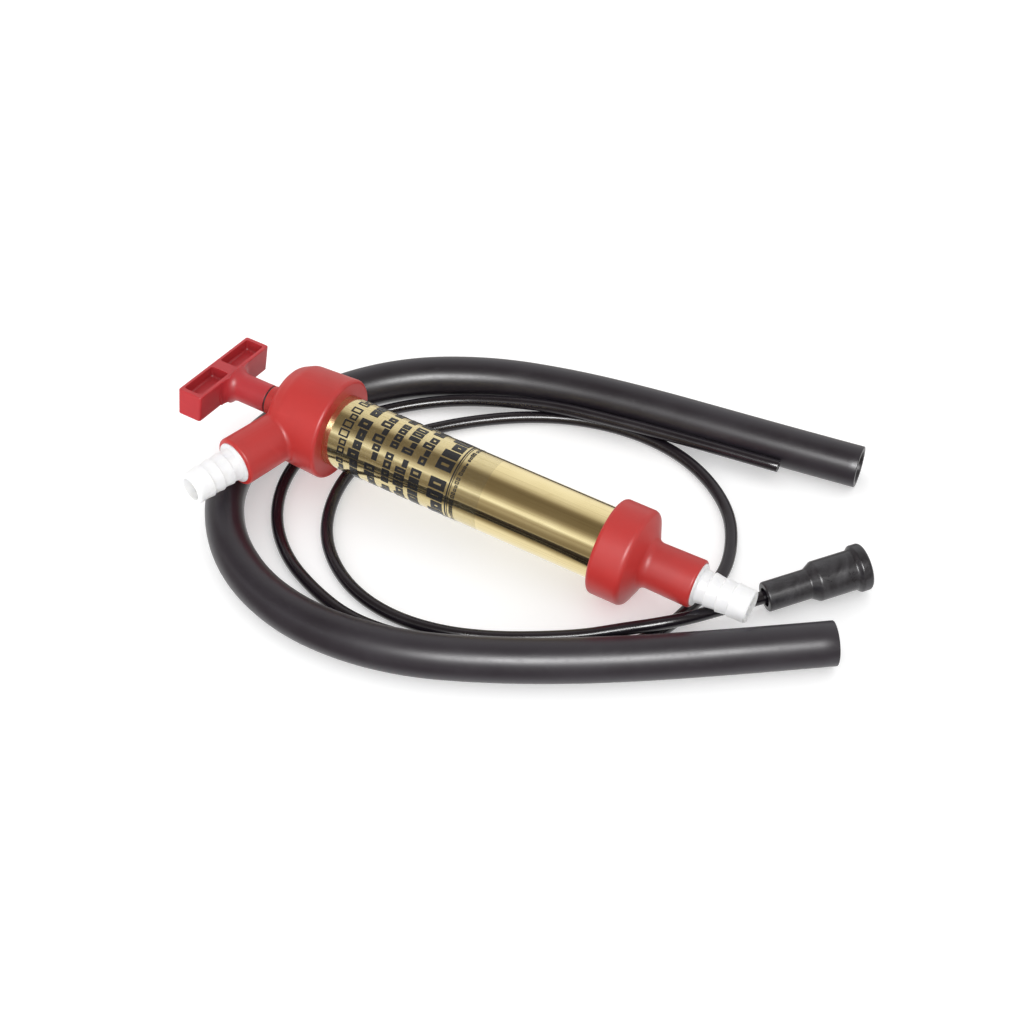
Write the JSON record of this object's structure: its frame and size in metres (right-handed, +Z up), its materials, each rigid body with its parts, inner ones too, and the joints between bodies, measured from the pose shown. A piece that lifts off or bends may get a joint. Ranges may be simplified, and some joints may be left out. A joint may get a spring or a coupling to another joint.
{
  "type": "fluid transfer pump",
  "caption": "Hand-pulled piston pump with a brass barrel, T-handle, hose barbs at the inlet and outlet, a loose thick hose, a thin dip tube and a rubber reducer.",
  "frame": {"origin": "centre of the pump's bounding box, on the floor, the loose hoses and reducer left out", "axes": "+X from the handle towards the inlet barb, +Y away from the outlet barb, +Z up; the pump's axis dips 3.2 degrees towards the inlet"},
  "size_m": [0.4113, 0.2887, 0.0711],
  "materials": {
    "brass": "polished",
    "film": "clear gloss film with black print",
    "cap_red": "satin",
    "handle_red": "satin",
    "nylon": "translucent satin",
    "seal_rubber": "matte",
    "bush_plastic": "satin",
    "insert_brass": "machined",
    "steel": "bright",
    "hose_black": "satin",
    "tube_black": "gloss",
    "reducer_rubber": "matte, dusty"
  },
  "bodies": {
    "pump": {"barrel": "brass", "print_film": "film", "head_cap": "cap_red", "foot_cap": "cap_red", "outlet_barb": "nylon", "outlet_barb_ring": "seal_rubber", "inlet_barb": "nylon", "inlet_barb_ring": "seal_rubber", "head_gasket": "seal_rubber", "foot_gasket": "seal_rubber", "rod_bush": "bush_plastic", "rod_seal": "seal_rubber", "gland_ring": "bush_plastic", "foot_valve_seat": "bush_plastic", "foot_valve_pin": "seal_rubber", "hose": "hose_black", "dip_tube": "tube_black", "reducer": "reducer_rubber"},
    "piston": {"piston_body": "bush_plastic", "piston_cup": "seal_rubber", "cup_follower": "steel"},
    "rod": {"piston_rod": "steel", "handle": "handle_red", "handle_insert": "insert_brass", "handle_bumper": "seal_rubber", "stop_washer": "steel", "nut_washer": "steel", "piston_nut": "steel"},
    "piston_valve": {"piston_flap": "seal_rubber"},
    "foot_valve": {"foot_valve_disc": "seal_rubber"}
  },
  "joints": [
    {"name": "piston_stroke", "type": "slide", "parent": "pump", "child": "piston", "axis": [-0.9984, 0, 0.0558], "range_m": [0, 0.165]},
    {"name": "handle_spin", "type": "hinge", "parent": "piston", "child": "rod", "pos_m": [-0.0869, 0.0257, 0.0397], "axis": [-0.9984, 0, 0.0558], "continuous": true},
    {"name": "piston_valve_lift", "type": "slide", "parent": "piston", "child": "piston_valve", "axis": [-0.9984, 0, 0.0558], "range_m": [0, 0.003]},
    {"name": "foot_valve_lift", "type": "slide", "parent": "pump", "child": "foot_valve", "axis": [-0.9984, 0, 0.0558], "range_m": [0, 0.0022]}
  ]
}
